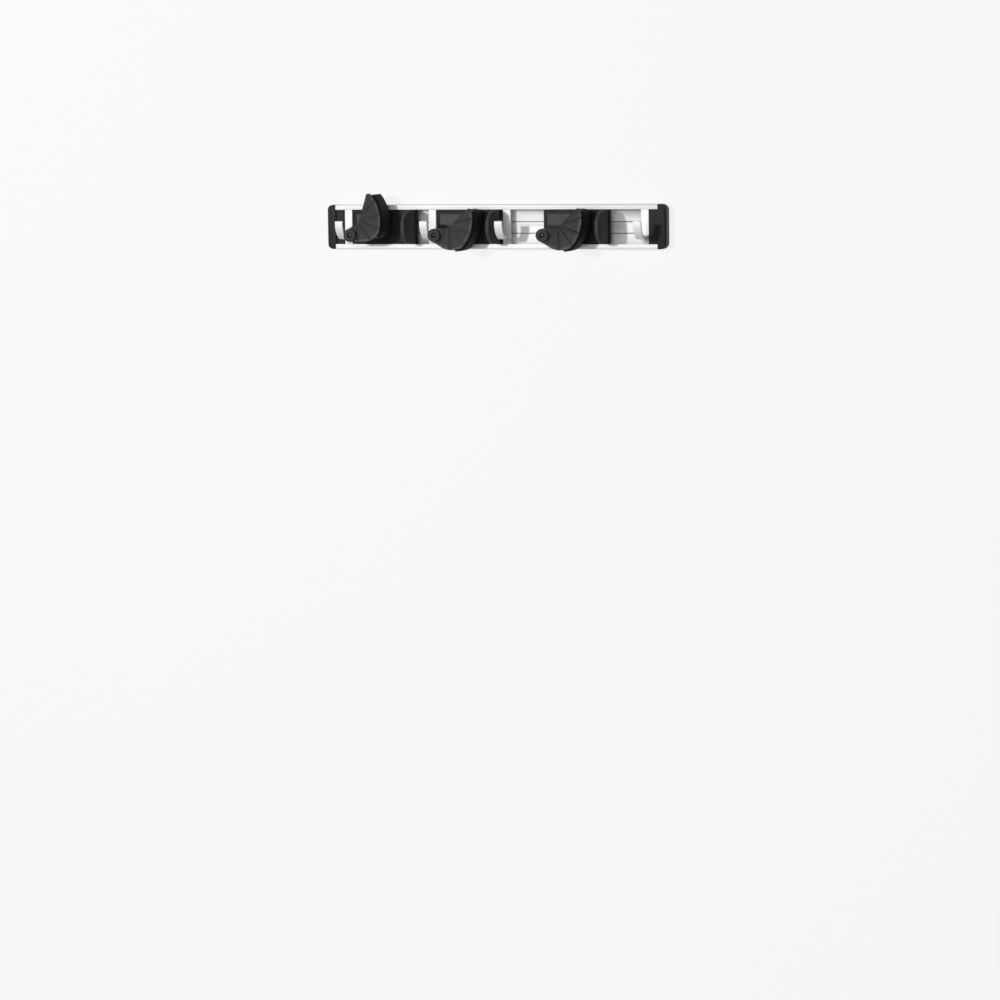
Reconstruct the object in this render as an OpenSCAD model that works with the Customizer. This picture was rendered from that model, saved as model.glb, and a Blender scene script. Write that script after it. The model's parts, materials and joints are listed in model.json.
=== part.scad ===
// Wall rack: an aluminium channel that carries three gravity tool holders and four hooks.
// The rail's back lies on the wall at Y = 0, the front faces -Y, and +X runs along the rail.
// Depths are measured from the wall towards the front, heights from the rail's middle.

/* [Rail] */
// Length of the rail between its end caps
rail_l = 380; // [340:5:600]
// Height of the rail
rail_h = 50; // [48:0.5:60]
// Depth of the rail from the wall to the front of its lips
rail_d = 14; // [13:0.5:18]
// Thickness of the web on the wall
web_t = 2.2; // [1.6:0.1:3]
// Thickness of the top and bottom flanges
flange_t = 2; // [1.5:0.1:3]
// Thickness of the lips
lip_t = 2; // [1.5:0.1:2.5]
// Height of the open mouth between the lips
mouth_h = 39; // [38:0.5:41]
// Radius of the rail's outer corners
rail_corner_r = 1.2; // [0.5:0.1:2]
// Distance between the two fine grooves in the web
groove_spacing = 13; // [8:0.5:20]
// Height of the grooves' middle above the rail's middle
groove_z = -1.2; // [-4:0.2:4]
// Width of each groove, which is twice its depth
groove_w = 1.4; // [0.6:0.1:2]
// Distance between the two wall screws
screw_spacing = 240; // [160:5:280]
// Diameter of the wall screw holes
screw_d = 5; // [4:0.5:6]

/* [End caps] */
// Width of the part of a cap that shows beside the rail
cap_w = 10; // [6:0.5:15]
// How far a cap stands proud of the rail's outline
cap_proud = 0.1; // [0.1:0.1:1]
// Radius of the outer corners seen from the front
cap_corner_r = 7; // [3:0.5:9]
// Radius of the outer front edge
cap_edge_r = 2.5; // [1:0.5:5]
// Length of the plug inside the channel
plug_l = 10.1; // [6:0.1:14]
// Wall of the hollow plug
plug_wall = 2; // [1.5:0.1:2.5]
// Chamfer at the plug's tip
plug_chamfer = 1.2; // [0.5:0.1:1.5]

/* [Hooks] */
// Width of a hook along the rail
hook_w = 9; // [7:0.5:11]
// Thickness of the bent profile
hook_t = 3; // [2:0.1:3.4]
// Depth of the hook's outer face from the wall
hook_reach = 44.5; // [40:0.5:50]
// Outer radius of the bend
hook_bend_r = 19; // [14:0.5:20]
// Drop of the hook's underside below the rail's middle
hook_drop = 13.4; // [10:0.2:15]
// Height of the hook's tip above the rail's middle
hook_tip = 7.6; // [6.8:0.2:12]

/* [Holder bases] */
// Length of a base to the left of its pivot
base_left = 8.8; // [8:0.2:12]
// Length of a base to the right of its pivot
base_right = 68; // [67:0.5:76]
// How far a base's front face lies behind the front of the lips
base_inset = 0.5; // [0.2:0.1:1.5]
// Thickness of the base's plate
base_t = 4.1; // [3.6:0.1:5]
// Radius of the corners of a base's face
base_corner_r = 1.6; // [1:0.2:5]
// Width of the runners and legs that slide along the web
runner_w = 2.4; // [1.6:0.1:2.8]
// Height of the pivot above the rail's middle
pivot_z = -8.2; // [-9:0.1:-7]
// Border between the base's outline and its raised panel
panel_border = 4.4; // [3:0.2:6]
// Length of the raised panel
panel_l = 30; // [20:0.5:34]
// Height of the raised panel
panel_h = 14; // [10:0.5:16]
// How far the panel is raised
panel_rise = 1.2; // [0.4:0.1:1.4]
// Width of the bevel round the panel
panel_bevel = 1.6; // [0.6:0.1:2]

/* [Jaws] */
// Distance from the pivot to the jaw's gripping face at its root
jaw_x = 62.8; // [61:0.1:63]
// Thickness of the jaw
jaw_t = 3.8; // [2.5:0.1:4.2]
// Depth of the jaw's front edge from the wall
jaw_reach = 43; // [40:0.5:46]
// Height of the jaw
jaw_h = 37; // [34:0.2:38]
// Radius of the jaw's front corners
jaw_corner_r = 16; // [8:0.5:16]
// Radius of the gripping face's hollow curve
jaw_curve_r = 170; // [140:5:400]
// Thickness of the foot behind the base
foot_t = 2; // [1.5:0.1:2.4]
// How far the foot reaches past the jaw on each side
foot_lip = 1.1; // [0.8:0.1:1.2]

/* [Cams] */
// Radius of the boss round the pivot
boss_r = 7.4; // [7:0.1:7.6]
// Distance from the pivot to the middle of the arc along the fan's lower edge
cam_offset = 22.3; // [21.8:0.1:22.8]
// Radius of that arc, at the rim of the fan's face
belly_r = 25; // [24.6:0.1:25.6]
// Radius of the flatter side of the fan that does the gripping
grip_r = 45.1; // [44.5:0.1:46]
// Distance from the pivot to that side where it stands upright when the cam is at its lowest
grip_reach = 45.1; // [44.5:0.1:46]
// Height of that place above the pivot
grip_rise = 18; // [17.4:0.2:18.6]
// Distance from the pivot to the shoulder of the fan, on its upper edge
shoulder_offset = 21.6; // [21:0.1:22.2]
// Radius of the fan's tip
tip_r = 3; // [2.4:0.1:3.4]
// How far the tyre stands out past the rim of the face
tyre_proud = 2; // [1:0.1:2.4]
// Thickness of the tyre
tyre_t = 4; // [3:0.1:5]
// Depth of the cam's back from the wall
cam_back = 16.6; // [16.4:0.1:18]
// Depth of the cam's face from the wall
cam_front = 47; // [44:0.5:49]
// Thickness of the cam's face
face_t = 3; // [2:0.1:4]
// Wall of the cam behind its face
cam_wall = 2; // [1.6:0.1:2.2]
// How far the boss stands out of the face
boss_rise = 3; // [1:0.2:4]
// Radius of the boss's front edge
boss_edge_r = 1; // [0.4:0.1:1.4]
// Radius of the nub at the tyre's lower end
nub_r = 2; // [1.4:0.1:2.4]
// Height of the creases at the rim
crease_h = 1; // [0.6:0.1:1.4]
// Width of a crease at the rim
crease_w = 3.4; // [1.5:0.1:3.6]
// Width of the sloped rim of the face
rim_w = 2.8; // [2:0.1:3.6]
// Height of that rim
rim_rise = 0.8; // [0.3:0.1:1]
// Diameter of the pivot pin
pin_d = 4; // [3:0.1:4.4]
// Diameter of the pivot pin's head
pin_head_d = 5; // [4.8:0.1:5.4]

/* [Motion] */
// Lift of each cam above its lowest place
cam_lifts = [30, 0, 0]; // [0:1:60]

/* [Hidden] */
// Gap to the rail all round what slides in it
slide_gap = 0.3;
// Gap round pieces that are pressed or clipped in place
seat_gap = 0.1;
// Running gap between the pin and the cam, on the radius
run_gap = 0.05;
// Gap round the pin in its socket, on the radius
press_gap = 0.02;
// Gap between the end faces of the cam and their neighbours
end_gap = 0.3;
// How far cuts run past the faces that they open
overrun = 1;

// Distance from the pivot to the point where the creases meet
crease_offset = 20.5;
// Height of the creases at that point
crease_start_h = 0.5;
// How far the creases are sunk into the face
crease_sink = 0.2;
// Distance from the creases to the edge of the face
crease_margin = 0.4;
// How far the wall behind the face is set in along the cam's arm
arm_set = 0.4;
// Thickness of the ribs behind the cam's face
rib_t = 1.6;
// Depth of those ribs
rib_h = 9;
// Thickness of the rim that keeps the tyre on its seat
flange_rim_t = 1.2;
// Height of that rim above the seat
flange_rim_h = 2;
// Gap between the tyre and the cam's face
tyre_gap = 2.2;
// Radius of the tyre's outer edges
tyre_edge_r = 1.5;
// Thickness of the pin's head
head_t = 1.5;
// How far the top of the pin's head lies behind the front of the boss
head_sink = 1;
// Radius of the peg that stops the cam at both ends of its swing
stop_peg_r = 1.4;
// Distance of that peg from the pivot
stop_orbit_r = 11;
// How far the peg reaches into the cam
stop_reach = 7;

// Order along the rail: a hook is 0 and a holder is 1
slider_order = [0, 1, 0, 1, 0, 1, 0];
// How the free length of the channel is shared out between the sliders, from the left
free_shares = [0.004, 0.016, 0.145, 0.010, 0.018, 0.423, 0.380, 0.004];

// Angles of the cam in its lowest place
cam_low_angle = 21.8;
shoulder_angle = 28.1;
fan_top_angle = 43;
side_angle = -20;
side_sweep = 80;
tyre_top_angle = 10;
tyre_end_angle = -83;
crease_middle_angle = 35.2;
crease_angles = [15, -20.5, -51.5, -87, -120];

// Edges of the channel
lip_back = rail_d - lip_t;
channel_h = rail_h - 2 * flange_t;
slider_h = channel_h - 2 * slide_gap;
slider_front = lip_back - slide_gap;
slider_back = web_t + slide_gap;
plug_end = rail_l / 2 - plug_l;

// Widths and places of the sliders, from left to right
base_l = base_left + base_right;
widths = [for (kind = slider_order) kind == 0 ? hook_w : base_l];
function total(list, count) = count == 0 ? 0 : list[count - 1] + total(list, count - 1);
free_l = 2 * plug_end - total(widths, len(widths));
function left_edge(i) = -plug_end + free_l * total(free_shares, i + 1) + total(widths, i);
function hook_x(i) = left_edge(2 * (i - 1)) + hook_w / 2;
function holder_x(i) = left_edge(2 * i - 1) + base_left;

// Levels of the holder, as depths from the wall
base_front = rail_d - base_inset;
base_back = base_front - base_t;
base_h = mouth_h - 2 * slide_gap - 2 * seat_gap;
panel_front = base_front + panel_rise;
foot_back = base_back - seat_gap - foot_t;
foot_h = base_h - 2 * runner_w;
socket_back = slider_back + end_gap;
socket_r = boss_r - cam_wall;

// Levels of the cam, as depths from the wall
face_back = cam_front - face_t;
boss_front = cam_front + boss_rise;
seat_set = tyre_t - tyre_proud;
flange_front = cam_back + flange_rim_t;
tyre_back = flange_front + seat_gap;
tyre_front = face_back - tyre_gap;
head_back = boss_front - head_sink - head_t;
head_recess_r = pin_head_d / 2 + end_gap;
function toward(angle) = [cos(angle), sin(angle)];
arc_middle = cam_offset * toward(cam_low_angle);
grip_middle = [grip_reach - grip_r, grip_rise];
shoulder = shoulder_offset * toward(shoulder_angle);
crease_middle = crease_offset * toward(crease_middle_angle);
cam_span = cam_offset + belly_r;

// Distance from a point inside the fan to its rim
function arc_reach(from, angle, middle, r) =
    let (off = from - middle, along = off.x * cos(angle) + off.y * sin(angle))
    sqrt(along * along - off * off + r * r) - along;
function rim_reach(from, angle) =
    let (side = arc_reach(from, angle, grip_middle, grip_r))
    angle > side_angle ? side : min(side, arc_reach(from, angle, arc_middle, belly_r));

// The round tip lies between the fan's upper edge and its gripping side
tip_from = shoulder + tip_r * toward(fan_top_angle - 90);
tip_reach = arc_reach(tip_from, fan_top_angle, grip_middle, grip_r - tip_r);
tip_middle = tip_from + tip_reach * toward(fan_top_angle);
tip_start = tip_middle - tip_r * toward(fan_top_angle - 90);
tip_end = grip_middle + (tip_middle - grip_middle) * grip_r / (grip_r - tip_r);
tip_tilt = atan2(tip_end.y - tip_start.y, tip_end.x - tip_start.x);

// Angle of the stop peg, which touches the cam's upper edge when the cam is at its lowest
stop_angle = asin((socket_r - stop_peg_r - end_gap) / stop_orbit_r);

HOOKS = [1:4];
HOLDERS = [1:3];
HOLDER_PIECES = ["holder_base_", "jaw_", "cam_", "cam_tyre_", "pivot_pin_"];

ALUMINIUM = [0.86, 0.87, 0.88];
BRIGHT = [0.93, 0.93, 0.94];
BLACK = [0.16, 0.16, 0.17];
SOFT_BLACK = [0.11, 0.11, 0.12];
STEEL = [0.7, 0.71, 0.72];

$fn = 64;

// A flat shape of depths and heights, run along the rail
module along_rail(length) {
    rotate([90, 0, -90])
        linear_extrude(length, center = true)
            children();
}

// A flat shape seen from the front, between two depths
module facing(back, front) {
    translate([0, -back, 0])
        rotate([90, 0, 0])
            linear_extrude(front - back)
                children();
}

// A flat shape seen from above, in X and depth, between two heights
module upright(bottom, top) {
    translate([0, 0, bottom])
        mirror([0, 1, 0])
            linear_extrude(top - bottom)
                children();
}

// A profile of radius and depth, turned about an axis towards the front
module turned() {
    rotate([90, 0, 0])
        rotate_extrude()
            children();
}

// A rectangle between two corners
module box2(low, high) {
    translate(low)
        square(high - low);
}

// A rectangle between two corners, with round corners
module round_box2(low, high, r) {
    box2(low + [r, 0], high - [r, 0]);
    box2(low + [0, r], high - [0, r]);
    for (x = [low.x + r, high.x - r])
        for (y = [low.y + r, high.y - r])
            translate([x, y])
                circle(r);
}

// Section of the rail: a channel with lips and two fine grooves
module rail_section() {
    difference() {
        round_box2([0, -rail_h / 2], [rail_d, rail_h / 2], rail_corner_r);
        box2([web_t, -channel_h / 2], [lip_back, channel_h / 2]);
        box2([lip_back - overrun, -mouth_h / 2], [rail_d + overrun, mouth_h / 2]);
        for (side = [-1, 1])
            translate([web_t, groove_z + side * groove_spacing / 2])
                rotate(45)
                    square(groove_w / sqrt(2), center = true);
    }
}

module rail() {
    color(ALUMINIUM)
        difference() {
            along_rail(rail_l)
                rail_section();
            for (side = [-1, 1])
                translate([side * screw_spacing / 2, 0, 0])
                    facing(-overrun, web_t + overrun)
                        circle(d = screw_d);
        }
}

// The right end cap: a block beside the rail and a hollow plug in the channel
module end_cap() {
    root = rail_l / 2;
    tip = plug_end;
    outer = root + cap_w;
    half_h = rail_h / 2 + cap_proud;
    front = rail_d + cap_proud;
    plug_back = web_t + seat_gap;
    plug_front = lip_back - seat_gap;
    plug_half_h = channel_h / 2 - seat_gap;
    intersection() {
        facing(0, front)
            union() {
                box2([root, cap_corner_r - half_h], [outer, half_h - cap_corner_r]);
                box2([root, -half_h], [outer - cap_corner_r, half_h]);
                for (side = [-1, 1])
                    translate([outer - cap_corner_r, side * (half_h - cap_corner_r)])
                        circle(cap_corner_r);
            }
        upright(-half_h, half_h)
            union() {
                box2([root, 0], [outer, front - cap_edge_r]);
                box2([root, 0], [outer - cap_edge_r, front]);
                translate([outer - cap_edge_r, front - cap_edge_r])
                    circle(cap_edge_r);
            }
    }
    difference() {
        upright(-plug_half_h, plug_half_h)
            polygon([
                [root + cap_w / 2, plug_back],
                [tip + plug_chamfer, plug_back],
                [tip, plug_back + plug_chamfer],
                [tip, plug_front - plug_chamfer],
                [tip + plug_chamfer, plug_front],
                [root + cap_w / 2, plug_front]
            ]);
        upright(plug_wall - plug_half_h, plug_half_h - plug_wall)
            box2([tip - overrun, plug_back + plug_wall], [root, plug_front - plug_wall]);
    }
}

module right_end_cap() {
    color(BLACK)
        end_cap();
}

module left_end_cap() {
    color(BLACK)
        mirror([1, 0, 0])
            end_cap();
}

// Section of a hook: a plate and two legs in the channel, and the bent arm in front of it
module hook_section() {
    half_h = slider_h / 2;
    middle = [hook_reach - hook_bend_r, hook_bend_r - hook_drop];
    inner_r = hook_bend_r - hook_t;
    plate_back = slider_front - hook_t;
    box2([plate_back, -half_h], [slider_front, half_h]);
    box2([slider_back, -half_h], [slider_front, runner_w - half_h]);
    box2([slider_back, half_h - runner_w], [slider_front, half_h]);
    box2([plate_back, -hook_drop], [middle.x, hook_t - hook_drop]);
    difference() {
        box2([plate_back, -hook_drop], [slider_front + hook_t, 2 * hook_t - hook_drop]);
        translate([slider_front + hook_t, 2 * hook_t - hook_drop])
            circle(hook_t);
    }
    translate(middle)
        intersection() {
            difference() {
                circle(hook_bend_r);
                circle(inner_r);
            }
            box2([0, -hook_bend_r], [hook_bend_r, 0]);
        }
    box2([hook_reach - hook_t, middle.y], [hook_reach, hook_tip - hook_t / 2]);
    translate([hook_reach - hook_t / 2, hook_tip - hook_t / 2])
        circle(hook_t / 2);
}

module hook(i) {
    color(BRIGHT)
        translate([hook_x(i), 0, 0])
            along_rail(hook_w)
                hook_section();
}

// Place of a holder's pivot on the rail
module at_pivot(i) {
    translate([holder_x(i), 0, pivot_z])
        children();
}

// Section of the raised panel between two edges, as edge and depth
module panel_section(low, high) {
    polygon([
        [low, base_back],
        [high, base_back],
        [high, base_front],
        [high - panel_bevel, panel_front],
        [low + panel_bevel, panel_front],
        [low, base_front]
    ]);
}

// A raised panel with a bevel on its four sides
module raised_panel() {
    top = base_h / 2 - panel_border;
    left = panel_border - base_left;
    intersection() {
        upright(top - panel_h, top)
            panel_section(left, left + panel_l);
        along_rail(2 * base_l)
            mirror([1, -1])
                panel_section(top - panel_h, top);
    }
}

// A sliding base: a face between the lips, flanges and runners behind them, the pivot's
// socket, the stop peg and the slot of the jaw
module holder_base(i) {
    half_h = slider_h / 2;
    flange_left = base_corner_r - base_left;
    flange_right = base_right - base_corner_r;
    slot_low = [jaw_x - seat_gap, -foot_h / 2 - seat_gap];
    slot_high = [jaw_x + jaw_t + seat_gap, foot_h / 2 + seat_gap];
    color(BLACK)
        translate([holder_x(i), 0, 0])
            difference() {
                union() {
                    facing(base_back, base_front)
                        round_box2([-base_left, -base_h / 2], [base_right, base_h / 2], base_corner_r);
                    facing(base_back, slider_front)
                        box2([flange_left, -half_h], [flange_right, half_h]);
                    for (low = [-half_h, half_h - runner_w])
                        facing(slider_back, slider_front)
                            box2([flange_left, low], [flange_right, low + runner_w]);
                    raised_panel();
                    translate([0, 0, pivot_z]) {
                        facing(socket_back, cam_back - end_gap)
                            circle(socket_r);
                        facing(base_back, cam_back + stop_reach)
                            rotate(stop_angle)
                                translate([stop_orbit_r, 0])
                                    circle(stop_peg_r);
                    }
                }
                facing(base_back - overrun, base_front + overrun)
                    box2(slot_low, slot_high);
                translate([0, 0, pivot_z])
                    facing(socket_back + end_gap, cam_back + overrun)
                        circle(pin_d / 2 + press_gap);
            }
}

// A soft jaw: a D-shaped blade, hollow towards the handle, on a foot behind the base
module jaw(i) {
    root = base_front + seat_gap;
    color(SOFT_BLACK)
        translate([holder_x(i), 0, 0]) {
            intersection() {
                translate([jaw_x, 0, 0])
                    along_rail(jaw_curve_r)
                        union() {
                            round_box2([root, -jaw_h / 2], [jaw_reach, jaw_h / 2], jaw_corner_r);
                            box2([root, -jaw_h / 2], [jaw_reach - jaw_corner_r, jaw_h / 2]);
                        }
                translate([jaw_x - jaw_curve_r, -root, 0])
                    difference() {
                        cylinder(h = jaw_h, r = jaw_curve_r + jaw_t, center = true, $fn = 180);
                        cylinder(h = jaw_h + overrun, r = jaw_curve_r, center = true, $fn = 180);
                    }
            }
            facing(foot_back, root)
                box2([jaw_x, -foot_h / 2], [jaw_x + jaw_t, foot_h / 2]);
            facing(foot_back, foot_back + foot_t)
                box2([jaw_x - foot_lip, -foot_h / 2], [jaw_x + jaw_t + foot_lip, foot_h / 2]);
        }
}

// Wedge of the fan that only the gripping side bounds, with its lower edge set in by set
module side_wedge(set) {
    start = arc_middle + set * toward(side_angle + 90);
    polygon([
        start,
        start + cam_span * toward(side_angle),
        arc_middle + cam_span * toward(side_angle + side_sweep)
    ]);
}

// Outline of the fan: the lower arc and the flatter gripping side, both set in by set, below
// an upper edge and a cut tip that are set in by inset
module fan_outline(set, inset) {
    difference() {
        intersection() {
            translate(grip_middle)
                circle(grip_r - set);
            union() {
                translate(arc_middle)
                    circle(belly_r - set);
                side_wedge(set);
            }
        }
        translate(shoulder)
            rotate(fan_top_angle)
                box2([-cam_span, -inset], [cam_span, cam_span]);
        translate(tip_start)
            rotate(tip_tilt)
                box2([-cam_span, -inset], [cam_span, cam_span]);
    }
}

// Outline of the cam from the front: the boss, the fan and the edges that join them
module cam_outline(boss, set, inset) {
    arc_r = belly_r - set;
    tangent = cam_low_angle - acos((boss - arc_r) / cam_offset);
    direction = toward(tangent);
    edge = shoulder + inset * toward(fan_top_angle - 90);
    knee = [edge.x + (boss - edge.y) / tan(fan_top_angle), boss];
    circle(boss);
    fan_outline(set, inset);
    polygon([boss * direction, arc_middle + arc_r * direction, knee, [0, boss]]);
}

// A cam in the place of holder i, lifted as that holder is
module at_cam(i) {
    at_pivot(i)
        rotate([0, -cam_lifts[i - 1], 0])
            children();
}

// Slope that rises to a circle at the rim
module rim_slope(middle, r) {
    translate([middle.x, 0, middle.y])
        turned()
            polygon([
                [r - rim_w, face_back],
                [r - rim_w, cam_front],
                [r, cam_front + rim_rise],
                [r + overrun, cam_front + rim_rise],
                [r + overrun, face_back]
            ]);
}

// The raised rim of the face, which slopes towards its middle
module raised_rim() {
    intersection() {
        union() {
            difference() {
                rim_slope(arc_middle, belly_r);
                facing(face_back - overrun, cam_front + rim_rise + overrun)
                    side_wedge(0);
            }
            rim_slope(grip_middle, grip_r);
        }
        facing(face_back, cam_front + rim_rise)
            fan_outline(0, 0);
    }
}

// Creases that run out over the face to its rim and rise on the way
module creases() {
    root = crease_h + crease_sink;
    half_w = crease_w / 2 * root / crease_h;
    intersection() {
        union() {
            for (angle = crease_angles) {
                length = rim_reach(crease_middle, angle);
                translate([crease_middle.x, -cam_front - crease_start_h, crease_middle.y])
                    rotate([0, -angle, 0])
                        rotate([90, 0, 90 - atan((crease_h - crease_start_h) / length)])
                            linear_extrude(length)
                                polygon([[0, 0], [root, half_w], [root, -half_w]]);
            }
        }
        facing(face_back, cam_front + crease_h + overrun)
            cam_outline(boss_r, crease_margin, crease_margin);
    }
}

// The boss and hub, turned about the pivot
module hub() {
    turned()
        difference() {
            union() {
                box2([0, cam_back], [boss_r, boss_front - boss_edge_r]);
                box2([0, cam_back], [boss_r - boss_edge_r, boss_front]);
                translate([boss_r - boss_edge_r, boss_front - boss_edge_r])
                    circle(boss_edge_r);
            }
            box2([-overrun, cam_back - overrun], [pin_d / 2 + run_gap, boss_front + overrun]);
            box2([-overrun, head_back - end_gap], [head_recess_r, boss_front + overrun]);
        }
}

// Outline of the cam's hollow back
module cam_hollow() {
    cam_outline(boss_r - cam_wall, seat_set + cam_wall, cam_wall);
}

// A gripping cam: a creased fan with a hollow back, ribs, and a seat for the tyre
module cam(i) {
    color(BLACK)
        at_cam(i) {
            difference() {
                union() {
                    facing(face_back, cam_front)
                        union() {
                            cam_outline(boss_r, 0, 0);
                            translate(arc_middle)
                                rotate(tyre_end_angle)
                                    translate([rim_reach(arc_middle, tyre_end_angle), nub_r])
                                        circle(nub_r);
                        }
                    facing(cam_back, cam_front)
                        difference() {
                            cam_outline(boss_r - arm_set, seat_set, 0);
                            cam_hollow();
                        }
                    facing(cam_back, flange_front)
                        difference() {
                            cam_outline(boss_r, seat_set - flange_rim_h, 0);
                            cam_hollow();
                        }
                    facing(face_back - rib_h, cam_front)
                        intersection() {
                            cam_hollow();
                            for (angle = crease_angles)
                                translate(crease_middle)
                                    rotate(angle)
                                        box2([boss_r, -rib_t / 2], [cam_span, rib_t / 2]);
                        }
                    facing(face_back, cam_front + rim_rise)
                        translate(tip_middle)
                            circle(tip_r);
                    creases();
                    raised_rim();
                }
                facing(cam_back - overrun, boss_front + overrun)
                    circle(boss_r - boss_edge_r);
            }
            hub();
        }
}

// A disc with round edges, as thick as the tyre is deep
module tyre_disc(middle, r) {
    translate([middle.x, 0, middle.y])
        turned()
            union() {
                box2([0, tyre_back], [r - tyre_edge_r, tyre_front]);
                box2([0, tyre_back + tyre_edge_r], [r, tyre_front - tyre_edge_r]);
                for (depth = [tyre_back + tyre_edge_r, tyre_front - tyre_edge_r])
                    translate([r - tyre_edge_r, depth])
                        circle(tyre_edge_r);
            }
}

// A soft tyre that follows both arcs of the fan's rim
module cam_tyre(i) {
    color(SOFT_BLACK)
        at_cam(i)
            difference() {
                intersection() {
                    tyre_disc(grip_middle, grip_r + tyre_proud);
                    union() {
                        tyre_disc(arc_middle, belly_r + tyre_proud);
                        facing(tyre_back - overrun, tyre_front + overrun)
                            side_wedge(-tyre_proud);
                    }
                    facing(tyre_back - overrun, tyre_front + overrun)
                        polygon([
                            arc_middle,
                            arc_middle + cam_span * toward(tyre_end_angle),
                            arc_middle + cam_span * toward(side_angle),
                            grip_middle + 2 * cam_span * toward(tyre_top_angle),
                            grip_middle + (grip_r - tyre_t) * toward(tyre_top_angle)
                        ]);
                }
                facing(tyre_back - overrun, tyre_front + overrun)
                    fan_outline(seat_set - press_gap, 0);
            }
}

// A pivot pin: its shank is held in the base, and its domed head shows in the boss
module pivot_pin(i) {
    dome_r = pin_head_d;
    dome_front = head_back + head_t;
    color(STEEL)
        at_pivot(i)
            turned()
                union() {
                    box2([0, socket_back + 2 * end_gap], [pin_d / 2, head_back + head_t / 2]);
                    intersection() {
                        box2([0, head_back], [pin_head_d / 2, dome_front]);
                        translate([0, dome_front - dome_r])
                            circle(dome_r);
                    }
                }
}

rail();
left_end_cap();
right_end_cap();
for (i = HOOKS) {
    hook(i);
}
for (i = HOLDERS) {
    holder_base(i);
    jaw(i);
    cam(i);
    cam_tyre(i);
    pivot_pin(i);
}
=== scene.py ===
"""Looks of the wall rack: softened edges, materials, stage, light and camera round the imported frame."""
import json
from math import atan2, cos, radians, sin

import bmesh
import bpy
from mathutils import Matrix, Vector


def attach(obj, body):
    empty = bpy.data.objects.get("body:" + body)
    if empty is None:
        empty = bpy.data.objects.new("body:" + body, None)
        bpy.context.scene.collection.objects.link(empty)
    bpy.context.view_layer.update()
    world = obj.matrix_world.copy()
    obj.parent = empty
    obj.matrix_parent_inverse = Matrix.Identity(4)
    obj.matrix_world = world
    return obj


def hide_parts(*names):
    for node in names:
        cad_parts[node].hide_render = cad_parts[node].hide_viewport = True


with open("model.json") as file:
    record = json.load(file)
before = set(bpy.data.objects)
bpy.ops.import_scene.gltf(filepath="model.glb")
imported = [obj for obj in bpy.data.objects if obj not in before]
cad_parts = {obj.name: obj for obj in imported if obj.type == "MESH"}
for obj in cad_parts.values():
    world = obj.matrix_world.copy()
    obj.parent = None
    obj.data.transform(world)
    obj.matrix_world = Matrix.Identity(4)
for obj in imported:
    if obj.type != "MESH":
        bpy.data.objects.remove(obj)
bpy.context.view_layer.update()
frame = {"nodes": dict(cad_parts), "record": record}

MM = 0.001

# Edges: radius of the rounding that each kind of piece gets, and how it is made
EDGE_RADIUS = {
    "rail": 0.25 * MM,
    "cap": 0.5 * MM,
    "hook": 0.3 * MM,
    "holder": 0.4 * MM,
    "cam": 0.3 * MM,
    "tyre": 0.4 * MM,
    "jaw": 1.1 * MM,
    "pin": 0.2 * MM,
}
EDGE_SEGMENTS = 3
EDGE_WEIGHT = "bevel_weight_edge"
SHARP_ANGLE = radians(32)
FLAT_ANGLE = radians(0.4)
WELD_DISTANCE = 0.002 * MM

# Order of a piece's materials
FACES, EDGES, MARKED = range(3)

# Faces with the third material: range of their depth from the wall, and of how far they look to the front
MARKED_FACES = {
    "holder": ((13.8 * MM, 14.8 * MM), (0.6, 1.01)),
    # The rail's grooves: their faces get painted shade
    "rail": ((1.75 * MM, 1.95 * MM), (0.6, 0.8)),
    # The cams' rims: their faces get a painted highlight
    "cam": ((46 * MM, 49 * MM), (0.945, 0.975)),
}

# Noise patterns: scale per metre, detail and roughness
NOISE_RANGE = (0.3, 0.7)
FULL_RANGE = (0.0, 1.0)
# Paler patches on edges and cam rims: worn by handling and painted highlight
RUBBED_HIGHLIGHT_PATCHES = (160.0, 4.0, 0.65)
RUBBED_HIGHLIGHT_RANGE = (0.4, 0.64)
METAL_LINES = (1.0, 4.0, 0.55)
METAL_CLOUDS = (55.0, 2.0, 0.55)
PLASTIC_CLOUDS = (70.0, 4.0, 0.55)
PLASTIC_DUST = (420.0, 6.0, 0.7)
DUST_RANGE = (0.52, 0.78)
GRAIN_DETAIL = (2.0, 0.5)

# Colour changes: shares of a material's tone, and how warm or cool each is
METAL_DIM_SHARE = 0.97
METAL_DIM_WARMTH, METAL_WARMTH = -0.006, -0.003
PLASTIC_SHARES = (0.8, 1.1)
PLASTIC_WARMTH = -0.03
DUST_SHARE = 1.8
DUST_WARMTH = -0.02
DUST_COVER = (0.0, 0.5)
RUBBED_HIGHLIGHT_WARMTH = -0.01

# Changes of roughness by lines, clouds and grain, and the strength of the bumps
METAL_LINE_SWING, METAL_CLOUD_SWING = 0.05, 0.02
PLASTIC_CLOUD_SWING, PLASTIC_GRAIN_SWING = 0.06, 0.03
METAL_BUMP = 0.12
METAL_BUMP_DEPTH = 0.02 * MM
PLASTIC_BUMP = 0.35

# Grain: scale of a metal's lines along each axis, and scale and depth of a moulded surface
RAIL_GRAIN = (9.0, 2600.0, 2600.0)
HOOK_GRAIN = (2600.0, 260.0, 260.0)
PIN_GRAIN = (900.0, 900.0, 900.0)
PLASTIC_GRAIN = (2400.0, 0.03 * MM)
RUBBER_GRAIN = (3400.0, 0.025 * MM)

# Camera: where it stands, and where the photograph shows the middle of the rail
IMAGE_SIZE = 1000
SENSOR = 36
CAMERA_AZIMUTH = radians(18)
CAMERA_ELEVATION = radians(2)
CAMERA_DISTANCE = 4.0
CAMERA_ROLL = radians(-0.68)
CAMERA_REACH = 100
FOCAL_PIXELS = 3538
RAIL_PIXEL = (498.0, 226.4)

# Stage: the wall that carries the rack and a floor well below it
WALL_GAP = 0.4 * MM
WALL_SIZE = 6.0
FLOOR_SIZE = 40.0
FLOOR_DROP = 1.1
STAGE_WHITE = 0.92
WALL_GLOW_SHARE = 0.84
FLOOR_GLOW_SHARE = 0.95

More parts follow.
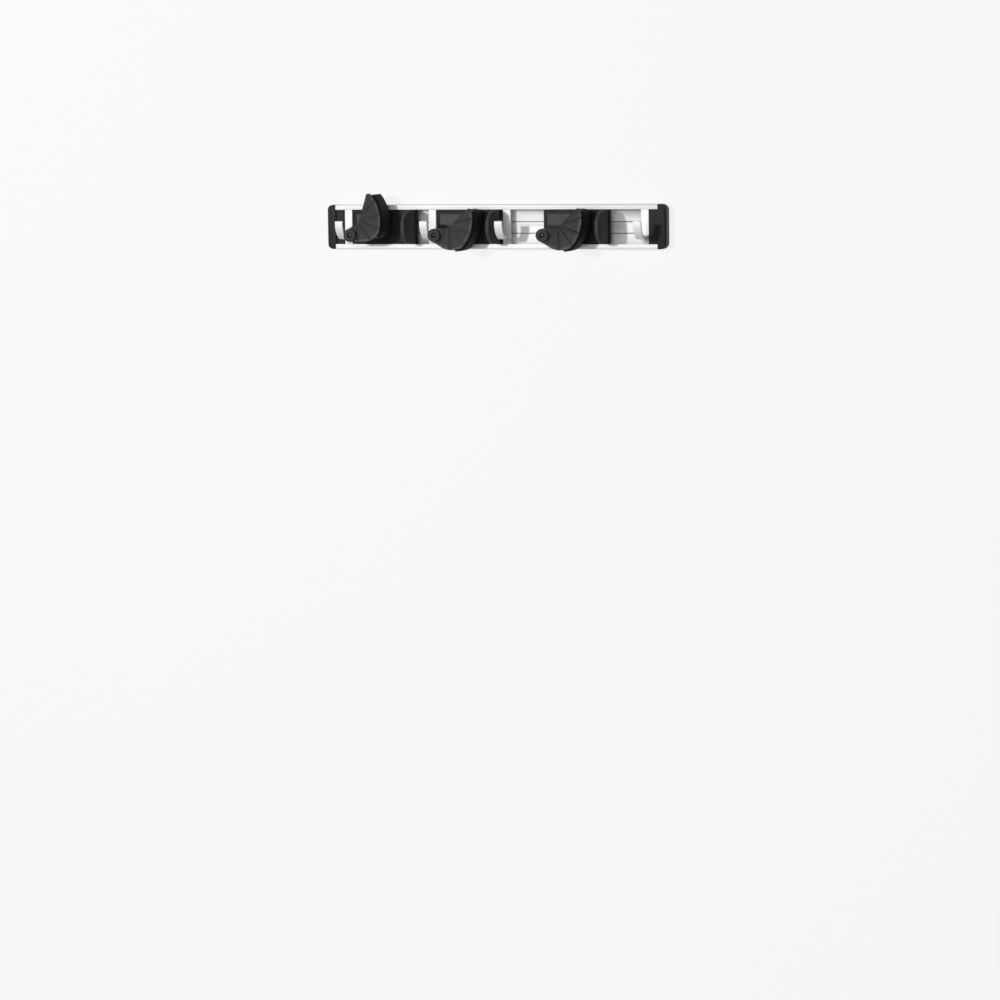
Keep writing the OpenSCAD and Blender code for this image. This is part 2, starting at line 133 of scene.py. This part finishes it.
# Light: a small key lamp far in front on the left, a broad soft lamp nearer the middle, and a white world
KEY_PLACE = Vector((-1.47, -3.3, 0.58))
KEY_SIZE = 0.15
KEY_POWER = 60
FILL_PLACE = Vector((-0.45, -2.0, 0.25))
FILL_SIZE = 1.5
FILL_POWER = 9.5
WORLD_FILL = 0.11


class Tree:
    """Short calls that add nodes to a material or world and link them."""

    def __init__(self, tree):
        self.tree = tree

    def add(self, kind, **inputs):
        node = self.tree.nodes.new(kind)
        for name, value in inputs.items():
            self.put(node, name, value)
        return node

    def put(self, node, name, value):
        """Sets an input, known by its name or its number, or links it."""
        socket = node.inputs[name]
        if isinstance(value, bpy.types.NodeSocket):
            self.tree.links.new(value, socket)
        else:
            socket.default_value = value

    def put_all(self, node, values):
        for number, value in enumerate(values):
            self.put(node, number, value)
        return node

    def math(self, operation, a, b):
        node = self.tree.nodes.new("ShaderNodeMath")
        node.operation = operation
        return self.put_all(node, (a, b)).outputs[0]

    def spread(self, value, used, result):
        """A value whose range used becomes the range result."""
        node = self.add("ShaderNodeMapRange", Value=value)
        names = ("From Min", "From Max", "To Min", "To Max")
        for name, limit in zip(names, (*used, *result)):
            self.put(node, name, limit)
        return node.outputs["Result"]

    def noise(self, place, scale, detail, roughness):
        node = self.add("ShaderNodeTexNoise", Vector=place, Scale=scale, Detail=detail,
                        Roughness=roughness)
        return node.outputs["Fac"]

    def stretched(self, place, scale):
        node = self.tree.nodes.new("ShaderNodeVectorMath")
        node.operation = "MULTIPLY"
        return self.put_all(node, (place, scale)).outputs[0]

    def blend(self, share, a, b):
        """A colour between a and b. The sockets are those that the node has for colours."""
        node = self.tree.nodes.new("ShaderNodeMix")
        node.data_type = "RGBA"
        for number, value in ((0, share), (6, a), (7, b)):
            self.put(node, number, value)
        return node.outputs[2]

    def mixed(self, share, a, b):
        """A shader between a and b."""
        return self.put_all(self.add("ShaderNodeMixShader"), (share, a, b)).outputs[0]

    def bump(self, height, strength, distance):
        node = self.add("ShaderNodeBump", Height=height, Strength=strength, Distance=distance)
        return node.outputs["Normal"]


def grey(value, warmth=0.0):
    """An almost neutral colour, a little warmer or cooler."""
    return (value * (1 + warmth), value, value * (1 - warmth), 1)


def around(middle, swing):
    """The range that reaches by swing to both sides of middle."""
    return (middle - swing, middle + swing)


def new_material(name):
    """A material with an empty look: its tree, its shader and the place that its patterns follow."""
    material = bpy.data.materials.new(name)
    material.use_nodes = True
    tree = Tree(material.node_tree)
    shader = material.node_tree.nodes["Principled BSDF"]
    place = tree.add("ShaderNodeTexCoord").outputs["Object"]
    return material, tree, shader, place


def rubbed_and_highlit(tree, place, colour, wear):
    """A colour with paler patches, partly worn by handling and partly painted highlight."""
    patches = tree.spread(tree.noise(place, *RUBBED_HIGHLIGHT_PATCHES), RUBBED_HIGHLIGHT_RANGE, FULL_RANGE)
    return tree.blend(patches, colour, grey(wear, RUBBED_HIGHLIGHT_WARMTH))


def metal(name, tone, metallic, rough, grain, wear=None):
    """Aluminium or steel with fine lines along its grain, and paler patches, worn and painted highlight, where
    an edge tone is given.
    """
    material, tree, shader, place = new_material(name)
    lines = tree.noise(tree.stretched(place, grain), *METAL_LINES)
    clouds = tree.noise(place, *METAL_CLOUDS)
    dim = grey(tone * METAL_DIM_SHARE, METAL_DIM_WARMTH)
    colour = tree.blend(clouds, dim, grey(tone, METAL_WARMTH))
    tree.put(shader, "Base Color", rubbed_and_highlit(tree, place, colour, wear) if wear else colour)
    shader.inputs["Metallic"].default_value = metallic
    blur = tree.math("ADD", tree.spread(lines, NOISE_RANGE, around(rough, METAL_LINE_SWING)),
                     tree.spread(clouds, NOISE_RANGE, around(0.0, METAL_CLOUD_SWING)))
    tree.put(shader, "Roughness", blur)
    tree.put(shader, "Normal", tree.bump(lines, METAL_BUMP, METAL_BUMP_DEPTH))
    return material


def moulded(name, tone, gloss, rough, grain, wear=None):
    """Plastic or rubber with fine grain, dust and slow changes of gloss and tone, and paler patches, worn and
    painted highlight, where an edge tone is given.
    """
    material, tree, shader, place = new_material(name)
    grain_scale, grain_depth = grain
    bumps = tree.noise(place, grain_scale, *GRAIN_DETAIL)
    clouds = tree.noise(place, *PLASTIC_CLOUDS)
    dark, light = (grey(tone * share, PLASTIC_WARMTH) for share in PLASTIC_SHARES)
    clean = tree.blend(tree.spread(clouds, NOISE_RANGE, FULL_RANGE), dark, light)
    dust = tree.spread(tree.noise(place, *PLASTIC_DUST), DUST_RANGE, DUST_COVER)
    colour = tree.blend(dust, clean, grey(tone * DUST_SHARE, DUST_WARMTH))
    tree.put(shader, "Base Color", rubbed_and_highlit(tree, place, colour, wear) if wear else colour)
    shader.inputs["Specular IOR Level"].default_value = gloss
    blur = tree.math("ADD", tree.spread(clouds, NOISE_RANGE, around(rough, PLASTIC_CLOUD_SWING)),
                     tree.spread(bumps, NOISE_RANGE, around(0.0, PLASTIC_GRAIN_SWING)))
    tree.put(shader, "Roughness", blur)
    tree.put(shader, "Normal", tree.bump(bumps, PLASTIC_BUMP, grain_depth))
    return material


def with_edges(make, name, wear, **look):
    """The material of a piece's faces and that of its edges, which are paler in patches: worn and painted
    highlight.
    """
    return [make(name, **look), make(f"{name}_edges", wear=wear, **look)]


# Edge materials are paler in patches: worn by handling and painted highlight
MATERIALS = {
    "rail": with_edges(metal, "satin_aluminium", wear=0.93,
                       tone=0.88, metallic=0.26, rough=0.6, grain=RAIL_GRAIN)
    # The rail's grooves get a darker aluminium: painted shade in the grooves
    + [metal("groove_painted_shade_aluminium", tone=0.42, metallic=0.27, rough=0.6, grain=RAIL_GRAIN)],
    "hook": with_edges(metal, "bright_aluminium", wear=0.94,
                       tone=0.9, metallic=0.24, rough=0.6, grain=HOOK_GRAIN),
    "cap": with_edges(moulded, "cap_plastic", wear=0.05,
                      tone=0.028, gloss=0.09, rough=0.52, grain=PLASTIC_GRAIN),
    "holder": with_edges(moulded, "holder_plastic", wear=0.05,
                         tone=0.022, gloss=0.08, rough=0.5, grain=PLASTIC_GRAIN)
    + [moulded("panel_plastic", tone=0.1, gloss=0.1, rough=0.62, grain=PLASTIC_GRAIN)],
    "cam": with_edges(moulded, "cam_plastic", wear=0.09,
                      tone=0.048, gloss=0.09, rough=0.52, grain=PLASTIC_GRAIN)
    # The cams' rims get a lighter, glossier plastic, a painted highlight, and paler patches, worn and painted
    # highlight
    + [moulded("cam_rim_highlight_plastic", wear=0.1, tone=0.055, gloss=0.11, rough=0.45, grain=PLASTIC_GRAIN)],
    "tyre": with_edges(moulded, "tyre_rubber", wear=0.055,
                       tone=0.04, gloss=0.06, rough=0.7, grain=RUBBER_GRAIN),
    "jaw": with_edges(moulded, "jaw_rubber", wear=0.1,
                      tone=0.06, gloss=0.09, rough=0.55, grain=RUBBER_GRAIN),
    "pin": with_edges(metal, "burnished_steel", wear=0.05,
                      tone=0.03, metallic=1.0, rough=0.3, grain=PIN_GRAIN),
}


def is_marked(face, slot):
    """Whether a face belongs to a raised panel, a groove of the rail, which gets painted shade, or the rim of a
    cam's face, which gets a painted highlight.
    """
    if slot not in MARKED_FACES:
        return False
    (nearest, farthest), (least, most) = MARKED_FACES[slot]
    depth = -face.calc_center_median().y
    return nearest < depth < farthest and least < -face.normal.y < most


def mark_edges(shape):
    """Edges that stand out are to be rounded. Inner corners and a panel's own edges stay sharp."""
    weights = shape.edges.layers.float.new(EDGE_WEIGHT)
    for edge in shape.edges:
        turn = edge.calc_face_angle_signed(0)
        between_marked = all(face.material_index == MARKED for face in edge.link_faces)
        rounded = turn > SHARP_ANGLE and not between_marked
        edge[weights] = float(rounded)
        edge.smooth = rounded or abs(turn) <= SHARP_ANGLE


def softened(node, slot, body):
    """A copy of a node with rounded edges, which stands for the node."""
    shape = bmesh.new()
    shape.from_mesh(frame["nodes"][node].data)
    bmesh.ops.remove_doubles(shape, verts=shape.verts, dist=WELD_DISTANCE)
    bmesh.ops.dissolve_limit(shape, angle_limit=FLAT_ANGLE, verts=shape.verts, edges=shape.edges)
    for face in shape.faces:
        face.smooth = True
        face.material_index = MARKED if is_marked(face, slot) else FACES
    mark_edges(shape)
    mesh = bpy.data.meshes.new(f"{node}_mesh")
    shape.to_mesh(mesh)
    shape.free()
    for material in MATERIALS[slot]:
        mesh.materials.append(material)
    piece = bpy.data.objects.new(f"{node}_look", mesh)
    bpy.context.scene.collection.objects.link(piece)
    bevel = piece.modifiers.new("rounded edges", "BEVEL")
    bevel.width = EDGE_RADIUS[slot]
    bevel.segments = EDGE_SEGMENTS
    bevel.limit_method = "WEIGHT"
    bevel.edge_weight = EDGE_WEIGHT
    # Rounded edges take the edge material, paler in patches: worn and painted highlight
    bevel.material = EDGES
    bevel.harden_normals = True
    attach(piece, body)
    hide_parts(node)


def dress():
    """Every node gets its rounded copy and its material."""
    slots = {part["node"]: part["material_slot"] for part in frame["record"]["subparts"]}
    for body, nodes in frame["record"]["behaviour"]["bodies"].items():
        for node in nodes:
            softened(node, slots[node], body)


def stage_material(name, glow_share):
    """White from in front, with the rack's shadow on it, and see-through from behind."""
    material = bpy.data.materials.new(name)
    material.use_nodes = True
    tree = Tree(material.node_tree)
    material.node_tree.nodes.remove(material.node_tree.nodes["Principled BSDF"])
    output = material.node_tree.nodes["Material Output"]
    matt = tree.add("ShaderNodeBsdfDiffuse", Color=grey(STAGE_WHITE)).outputs[0]
    glow = tree.add("ShaderNodeEmission", Color=grey(1.0), Strength=1.0).outputs[0]
    clear = tree.add("ShaderNodeBsdfTransparent").outputs[0]
    white = tree.mixed(glow_share, matt, glow)
    seen = tree.add("ShaderNodeLightPath").outputs["Is Camera Ray"]
    behind = tree.add("ShaderNodeNewGeometry").outputs["Backfacing"]
    shown = tree.math("MULTIPLY", seen, tree.math("SUBTRACT", 1.0, behind))
    tree.put(output, "Surface", tree.mixed(shown, clear, white))
    return material


def stage_plane(name, size, centre, normal, glow_share):
    """A square of the stage whose front looks along normal."""
    half = size / 2
    mesh = bpy.data.meshes.new(name)
    corners = [(-half, -half, 0), (half, -half, 0), (half, half, 0), (-half, half, 0)]
    mesh.from_pydata(corners, [], [(0, 1, 2, 3)])
    mesh.materials.append(stage_material(f"{name}_white", glow_share))
    plane = bpy.data.objects.new(name, mesh)
    bpy.context.scene.collection.objects.link(plane)
    turn = normal.to_track_quat("Z", "Y").to_matrix().to_4x4()
    plane.matrix_world = Matrix.Translation(centre) @ turn


def make_stage():
    """The wall behind the rack and the floor below it."""
    wall_middle = Vector((0, WALL_GAP, WALL_SIZE / 2 - FLOOR_DROP))
    floor_middle = Vector((0, WALL_GAP - FLOOR_SIZE / 2, -FLOOR_DROP))
    stage_plane("wall", WALL_SIZE, wall_middle, Vector((0, -1, 0)), WALL_GLOW_SHARE)
    stage_plane("floor", FLOOR_SIZE, floor_middle, Vector((0, 0, 1)), FLOOR_GLOW_SHARE)


def soft_lamp(name, place, size, power):
    """A round lamp that shines on the middle of the rack."""
    light = bpy.data.lights.new(name, "AREA")
    light.shape = "DISK"
    light.size = size
    light.energy = power
    lamp = bpy.data.objects.new(name, light)
    lamp.location = place
    lamp.rotation_mode = "QUATERNION"
    lamp.rotation_quaternion = place.to_track_quat("Z", "Y")
    bpy.context.scene.collection.objects.link(lamp)


def make_light():
    """A key lamp, a broad soft fill and a world that is white to the camera and in reflections."""
    soft_lamp("key", KEY_PLACE, KEY_SIZE, KEY_POWER)
    soft_lamp("fill", FILL_PLACE, FILL_SIZE, FILL_POWER)
    world = bpy.data.worlds.new("white")
    world.use_nodes = True
    bpy.context.scene.world = world
    tree = Tree(world.node_tree)
    path = tree.add("ShaderNodeLightPath").outputs
    mirrored = tree.math("MAXIMUM", path["Is Glossy Ray"], path["Is Transmission Ray"])
    shown = tree.math("MAXIMUM", path["Is Camera Ray"], mirrored)
    background = world.node_tree.nodes["Background"]
    background.inputs["Color"].default_value = grey(1.0)
    tree.put(background, "Strength", tree.spread(shown, FULL_RANGE, (WORLD_FILL, 1.0)))


def make_camera():
    """The photograph's view: it looks below the rack, which stands high in the frame."""
    lens = bpy.data.cameras.new("camera")
    lens.sensor_width = SENSOR
    lens.lens = SENSOR * FOCAL_PIXELS / IMAGE_SIZE
    lens.clip_end = CAMERA_REACH
    camera = bpy.data.objects.new("camera", lens)
    bpy.context.scene.collection.objects.link(camera)
    across = cos(CAMERA_ELEVATION)
    back = Vector((sin(CAMERA_AZIMUTH) * across, -cos(CAMERA_AZIMUTH) * across, sin(CAMERA_ELEVATION)))
    right = RAIL_PIXEL[0] - IMAGE_SIZE / 2
    up = IMAGE_SIZE / 2 - RAIL_PIXEL[1]
    aim = (Matrix.Rotation(CAMERA_ROLL, 4, "Z")
           @ Matrix.Rotation(atan2(right, FOCAL_PIXELS), 4, "Y")
           @ Matrix.Rotation(-atan2(up, FOCAL_PIXELS), 4, "X"))
    look = back.to_track_quat("Z", "Y").to_matrix().to_4x4()
    camera.matrix_world = Matrix.Translation(back * CAMERA_DISTANCE) @ look @ aim
    bpy.context.scene.camera = camera


dress()
make_stage()
make_light()
make_camera()
bpy.context.scene.view_settings.view_transform = "Standard"
